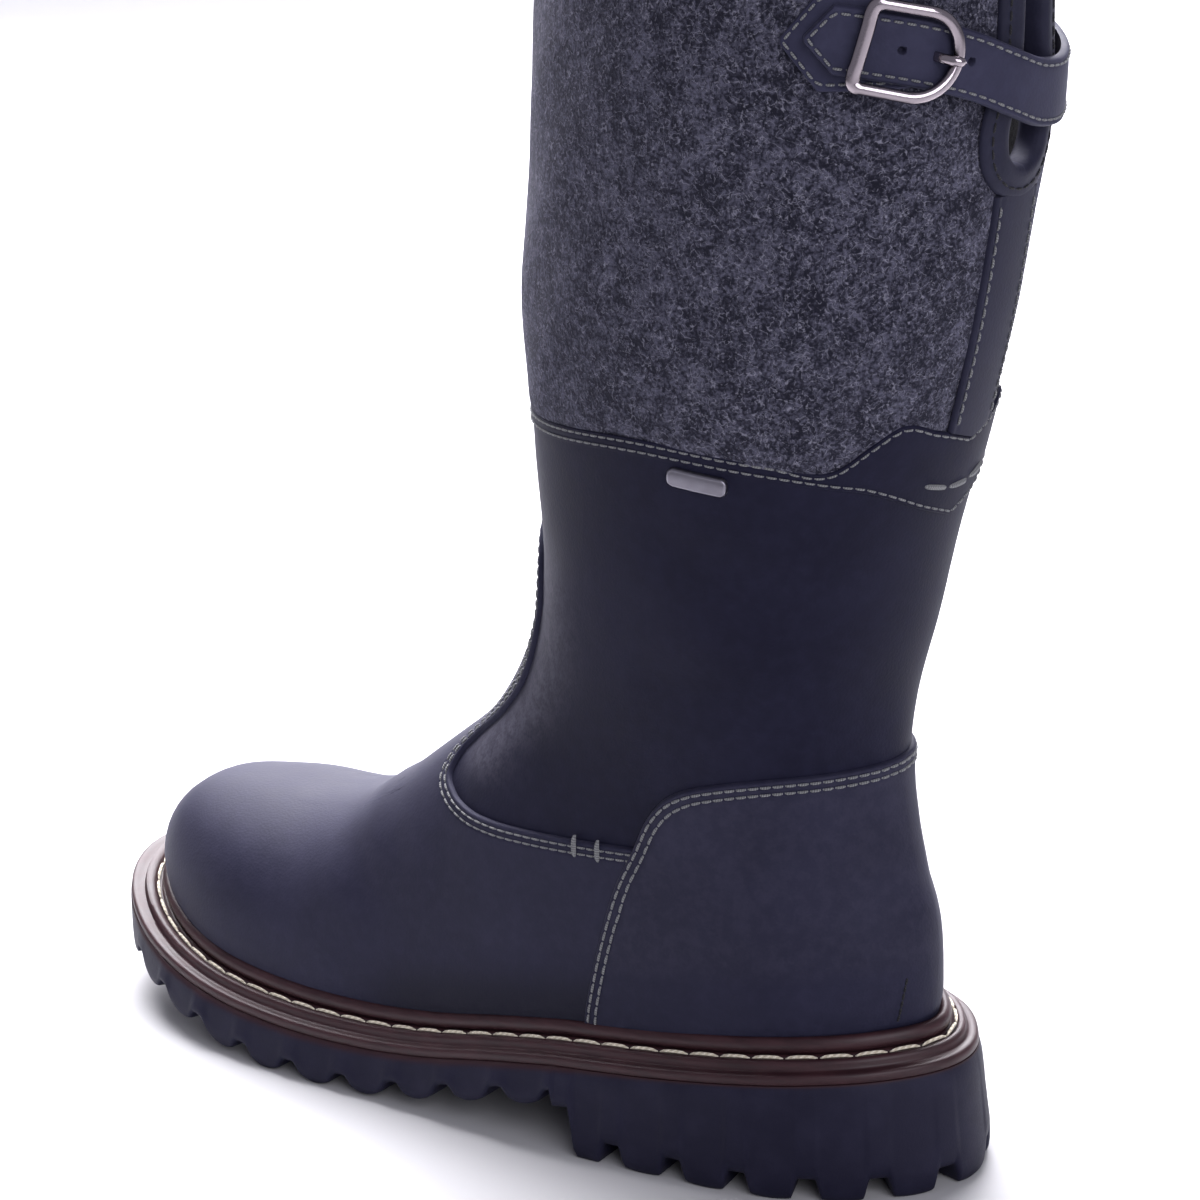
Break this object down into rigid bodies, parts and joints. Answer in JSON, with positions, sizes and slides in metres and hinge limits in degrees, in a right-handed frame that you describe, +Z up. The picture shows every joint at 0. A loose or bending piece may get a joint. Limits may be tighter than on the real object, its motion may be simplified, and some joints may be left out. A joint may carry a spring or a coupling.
{
  "type": "winter boot",
  "caption": "Left winter boot: leather foot on a stitched rubber lug sole, felt shaft open at the top, buckled strap over a slit at the back.",
  "frame": {"origin": "The middle of the heel's flat bottom, on the floor that the boot stands on.", "axes": "+X runs forwards to the toe, +Y to the outer side of this left boot, +Z up along the shaft."},
  "size_m": [0.3369, 0.1231, 0.3686],
  "materials": {
    "rubber": "matt black rubber",
    "welt_brown": "satin dark brown rubber",
    "leather": "waxed dark nubuck with a soft sheen",
    "felt": "dark grey wool felt with light fibres",
    "fleece": "plain pale wool lining",
    "nickel": "antique nickel"
  },
  "bodies": {
    "root": {"outsole": "rubber", "welt": "welt_brown", "rand": "welt_brown", "insole": "fleece", "upper": "leather", "vamp": "leather", "counter": "leather", "shaft": "felt", "seam_band": "leather", "back_strip": "leather", "slit_facing": "leather", "collar_binding": "leather", "strap": "leather", "strap_patch": "leather", "buckle_frame": "nickel", "buckle_prong": "nickel", "side_plate": "nickel"}
  },
  "joints": []
}
